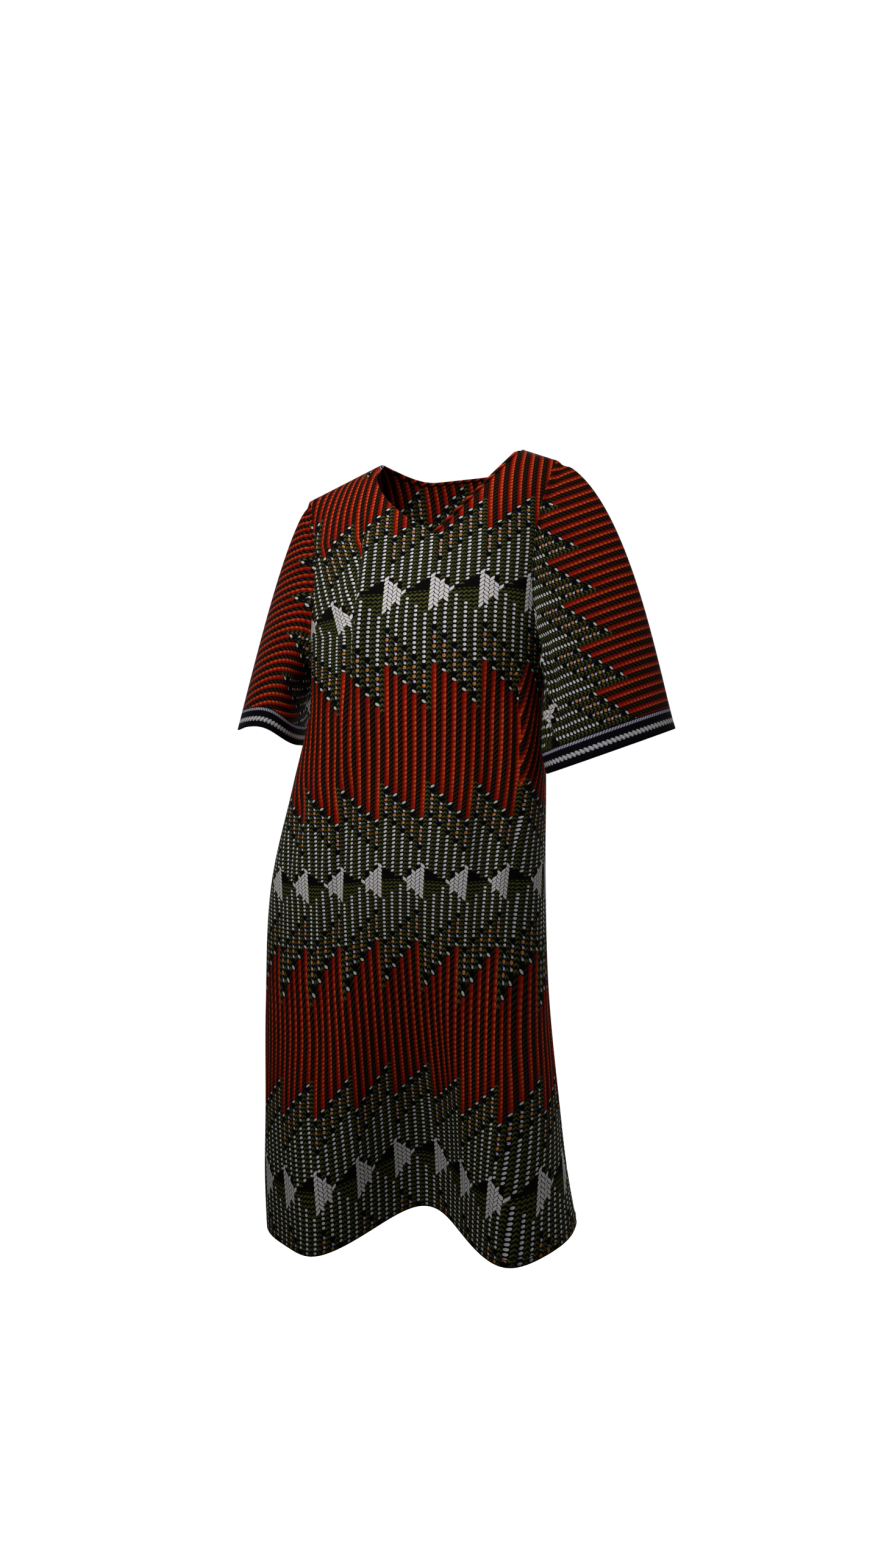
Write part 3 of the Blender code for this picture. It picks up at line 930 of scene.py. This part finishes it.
def armholePoints(side, turns):
    rise = 1.0 - np.abs(1.0 - turns / math.pi)
    points = np.zeros((len(turns), 3))
    for panel, here in (("front", turns <= math.pi), ("back", turns > math.pi)):
        x = upperX(side, rise[here])
        top = topHeight(panel, upperX(side, 1.0))
        climb = 0.5 * (1.0 - np.cos(math.pi * rise[here]))
        height = -form["underarmDrop"] + (top + form["underarmDrop"]) * climb
        points[here] = panelPoints(panel, x, height)
    return points


def sleevePoints(sleeve, turns, shares):
    side = sleeve["side"]
    start = armholePoints(side, turns)
    steps = sleeveForm["armholeSteps"]
    middle = armholePoints(side, np.arange(steps) * 2.0 * math.pi / steps).mean(axis=0)
    outer, front, hemMiddle = (np.array(sleeve[key]) for key in ("toOuter", "toFront", "hemMiddle"))
    fall = np.cross(outer, front) * side
    fall = fall / np.linalg.norm(fall)
    turn = turns[:, None]
    upward = 0.5 * (1.0 - np.cos(turn))
    down = 0.0 * turn
    for at, far, width in sleeve["waves"]:
        down = down + far * np.exp(-(((turn - at) / width) ** 2))
    hem = hemMiddle - np.cos(turn) * outer + np.sin(turn) * front + down * fall
    fallOut = sleeve["underFall"] + (sleeve["topFall"] - sleeve["underFall"]) * upward
    heading = np.hstack([np.full_like(turn, side), np.zeros_like(turn), -fallOut])
    heading[:, 1] += sleeveForm["spread"] * (start - middle)[:, 1]
    leaving = heading / np.linalg.norm(heading, axis=1, keepdims=True)
    offset = sleeveForm["offset"] + sleeve["topOffset"] * upward ** sleeveForm["topNarrow"]
    first = start + offset * leaving
    rounded = upward ** sleeveForm["topRound"]
    leaving = leaving * (sleeve["leaveUnder"] + (sleeve["leaveTop"] - sleeve["leaveUnder"]) * rounded)
    s = shares[:, None, None]
    points = (2 * s**3 - 3 * s**2 + 1) * first + (s**3 - 2 * s**2 + s) * leaving
    return points + (3 * s**2 - 2 * s**3) * hem + (s**3 - s**2) * sleeve["arrive"] * fall


def creaseSleeve(name, points, distance, around):
    out = np.zeros(points.shape[:2])
    for side, start, end, depth, halfWidth in sleeveCreases:
        if side != name:
            continue
        run = np.subtract(end, start)
        away = np.stack([distance - start[0], around - start[1]], axis=-1)
        along = np.clip(away @ run / (run @ run), 0.0, 1.0)
        gap = np.linalg.norm(away - along[..., None] * run, axis=-1)
        swell = np.sin(math.pi * np.clip(0.15 + 0.85 * along, 0.0, 1.0))
        out = out + depth * swell * np.exp(-((gap / halfWidth) ** 2))
    fromArmhole = distance.max(axis=0) - distance
    out = out * smoothstep(0.004, 0.03, distance) * smoothstep(0.004, 0.03, fromArmhole)
    dip = np.exp(-(((fromArmhole - seamDip["at"]) / seamDip["halfWidth"]) ** 2))
    out = out - seamDip["depth"] * dip * smoothstep(0.0, 0.006, fromArmhole)
    normals = sheetNormals(points[:, :-1], closed=True)
    normals = np.concatenate([normals, normals[:, :1]], axis=1)
    outward = np.sign(np.sum(normals * (points - points.mean(axis=1, keepdims=True))))
    return points + out[..., None] * normals * outward


def sleeveSheet(name, sleeve):
    turns = np.linspace(0.0, 2.0 * math.pi, sleeveGrid["turns"])
    shares = np.linspace(0.0, 1.0, sleeveGrid["rows"])
    points = sleevePoints(sleeve, turns, shares)
    fallen = arcLengths(points, 0)
    distance = fallen[-1:] - fallen
    around = arcLengths(points, 1)
    around = np.broadcast_to(0.5 * (around[-1] + around[sleeveGrid["girthRow"]]), distance.shape)
    points = creaseSleeve(name, points, distance, around)
    lay = sleeve["print"]
    printU = lay["column"] + distance / lay["halfColumn"] + lay["turn"] * around
    printV = lay["row"] + around / lay["rowWidth"] - lay["turn"] * distance
    printed = np.stack([printU, printV], axis=-1)
    cuff = np.stack([distance, around], axis=-1)
    normals = sheetNormals(points[:, :-1], closed=True)
    centre = points[-1, :-1].mean(axis=0)
    side = np.sign(np.sum(normals[-1] * (centre - points[-1, :-1])))
    inward = side * normals[-1]
    onward = points[-1, :-1] - points[-2, :-1]
    onward = onward / np.linalg.norm(onward, axis=1, keepdims=True)
    rows, lengths = turnedRows(points[-1, :-1], inward, onward, turning["cuff"])
    turned = np.concatenate([points[-1:, :-1], rows])
    past = np.array([0.0] + lengths)[:, None]
    shape = (len(turned), len(turns))
    turnedCuff = np.stack([np.broadcast_to(past, shape), np.broadcast_to(around[-1:], shape)], axis=-1)
    turnedPrint = np.broadcast_to(printed[-1:], turnedCuff.shape)
    grids = [(points[:, :-1], printed, cuff), (turned, turnedPrint, turnedCuff)]
    cloth = clothObject("fabric_sleeve_" + name, grids, True, name == "left", materials["sleeve"])
    solidify(cloth)
    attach(cloth, "root")
    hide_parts("sleeve_" + name)
    cuffLine = lineFromEdge(points[::-1, :-1], -side * normals[::-1], stitching["fromCuff"])
    stitches = sewStitches("stitches_sleeve_" + name, [(cuffLine, True)])
    return cloth, points, stitches


for name, sleeve in sleeves.items():
    sheets["sleeve_" + name] = sleeveSheet(name, sleeve)
print("sleeves made")

# Each sheet's flat size, measured along its curved grid where it is widest and longest
for label, (cloth, points, stitches) in sheets.items():
    across = np.linalg.norm(np.diff(points, axis=1), axis=2).sum(axis=1).max()
    down = np.linalg.norm(np.diff(points, axis=0), axis=2).sum(axis=0).max()
    area = sum(face.area for face in cloth.data.polygons)
    area = float(min(area, 0.999 * across * down))
    print(f"{label} across {across:.3f} down {down:.3f} area {area:.4f}")


# The floor, the lights and the camera
stage = {
    "floor": -1.47,
    "flat": 3.0,
    "bend": 1.0,
    "height": 5.0,
    "shoulder": 0.6,
    "shoulderRise": 1.0,
    "topRise": 1.3,
    "centre": 0.0001,
    "steps": 48,
    "bendSteps": 10,
    "glow": 1.0,
}


# A pale floor that turns up into a round wall and closes overhead
def stageFloor():
    wide = stage["flat"] + stage["bend"]
    profile = [(stage["centre"], 0.0)]
    for a in np.linspace(0.0, 0.5 * math.pi, stage["bendSteps"]):
        profile.append((stage["flat"] + stage["bend"] * math.sin(a), stage["bend"] * (1.0 - math.cos(a))))
    profile.append((wide, stage["height"]))
    profile.append((stage["shoulder"] * wide, stage["height"] + stage["shoulderRise"]))
    profile.append((stage["centre"], stage["height"] + stage["topRise"]))
    steps = stage["steps"]
    around = np.linspace(0.0, 2.0 * math.pi, steps, endpoint=False)
    verts, faces = [], []
    for radius, z in profile:
        verts += [(radius * math.cos(a), radius * math.sin(a), stage["floor"] + z) for a in around]
    for low in range(0, (len(profile) - 1) * steps, steps):
        high = low + steps
        faces += [(low + j, low + (j + 1) % steps, high + (j + 1) % steps, high + j) for j in range(steps)]
    mesh = bpy.data.meshes.new("floor")
    mesh.from_pydata(verts, [], faces)
    mesh.shade_smooth()
    material = bpy.data.materials.new("pale floor")
    material.use_nodes = True
    shader = material.node_tree.nodes["Principled BSDF"]
    shader.inputs["Base Color"].default_value = sRgb("#f4f4f4")
    shader.inputs["Roughness"].default_value = 0.9
    shader.inputs["Specular IOR Level"].default_value = 0.0
    shader.inputs["Emission Color"].default_value = (1.0, 1.0, 1.0, 1.0)
    shader.inputs["Emission Strength"].default_value = stage["glow"]
    mesh.materials.append(material)
    floor = bpy.data.objects.new("floor", mesh)
    bpy.context.scene.collection.objects.link(floor)
    floor.visible_diffuse = False
    floor.visible_glossy = False


stageFloor()

world = bpy.data.worlds.new("studio")
world.use_nodes = True
world.node_tree.nodes["Background"].inputs["Color"].default_value = (1.0, 1.0, 1.0, 1.0)
world.node_tree.nodes["Background"].inputs["Strength"].default_value = 0.05
bpy.context.scene.world = world

lamps = (
    {"name": "key", "at": (-0.23, -1.02, 0.46), "aim": (0.0, 0.0, 0.0), "size": 0.7, "power": 12.5},
    {"name": "back", "at": (0.3, 1.3, 0.6), "aim": (0.0, 0.0, -0.3), "size": 1.0, "power": 14.0},
    {"name": "left side", "at": (1.7, 0.9, 0.3), "aim": (0.0, 0.0, -0.4), "size": 1.0, "power": 8.0},
    {"name": "right side", "at": (-1.6, 1.0, 0.3), "aim": (0.0, 0.0, -0.4), "size": 1.0, "power": 7.0},
)


def aimAt(thing, at, aim):
    direction = np.array(aim) - np.array(at)
    forward = direction / np.linalg.norm(direction)
    across = np.cross(forward, (0.0, 0.0, 1.0))
    across = across / np.linalg.norm(across)
    up = np.cross(across, forward)
    rows = [[across[i], up[i], -forward[i], at[i]] for i in range(3)]
    thing.matrix_world = Matrix(rows + [[0.0, 0.0, 0.0, 1.0]])


for lamp in lamps:
    data = bpy.data.lights.new(lamp["name"], "AREA")
    data.energy = lamp["power"]
    data.size = lamp["size"]
    light = bpy.data.objects.new(lamp["name"], data)
    light.visible_camera = False
    bpy.context.scene.collection.objects.link(light)
    aimAt(light, lamp["at"], lamp["aim"])

bpy.context.scene.view_settings.view_transform = "Standard"

# The camera: angles in degrees, places in metres, the focal length and the frame's height in photo pixels
view = {
    "azimuth": 15.0,
    "distance": 1.75,
    "height": -0.30,
    "down": 5.0,
    "aside": -0.0176,
    "focal": 2035.0,
    "tall": 2573.0,
    "sensor": 36.0,
}
azimuth = math.radians(view["azimuth"])
downward = math.radians(view["down"])
right = np.array((math.cos(azimuth), math.sin(azimuth), 0.0))
level = np.array((-math.sin(azimuth), math.cos(azimuth), 0.0))
eye = -level * view["distance"] + right * view["aside"] + np.array((0.0, 0.0, view["height"]))
ahead = level * math.cos(downward) - np.array((0.0, 0.0, math.sin(downward)))
lens = bpy.data.cameras.new("camera")
lens.sensor_fit = "VERTICAL"
lens.sensor_height = view["sensor"]
lens.lens = view["sensor"] * view["focal"] / view["tall"]
camera = bpy.data.objects.new("camera", lens)
bpy.context.scene.collection.objects.link(camera)
aimAt(camera, eye, eye + ahead)
bpy.context.scene.camera = camera
print("stage, lights and camera made")
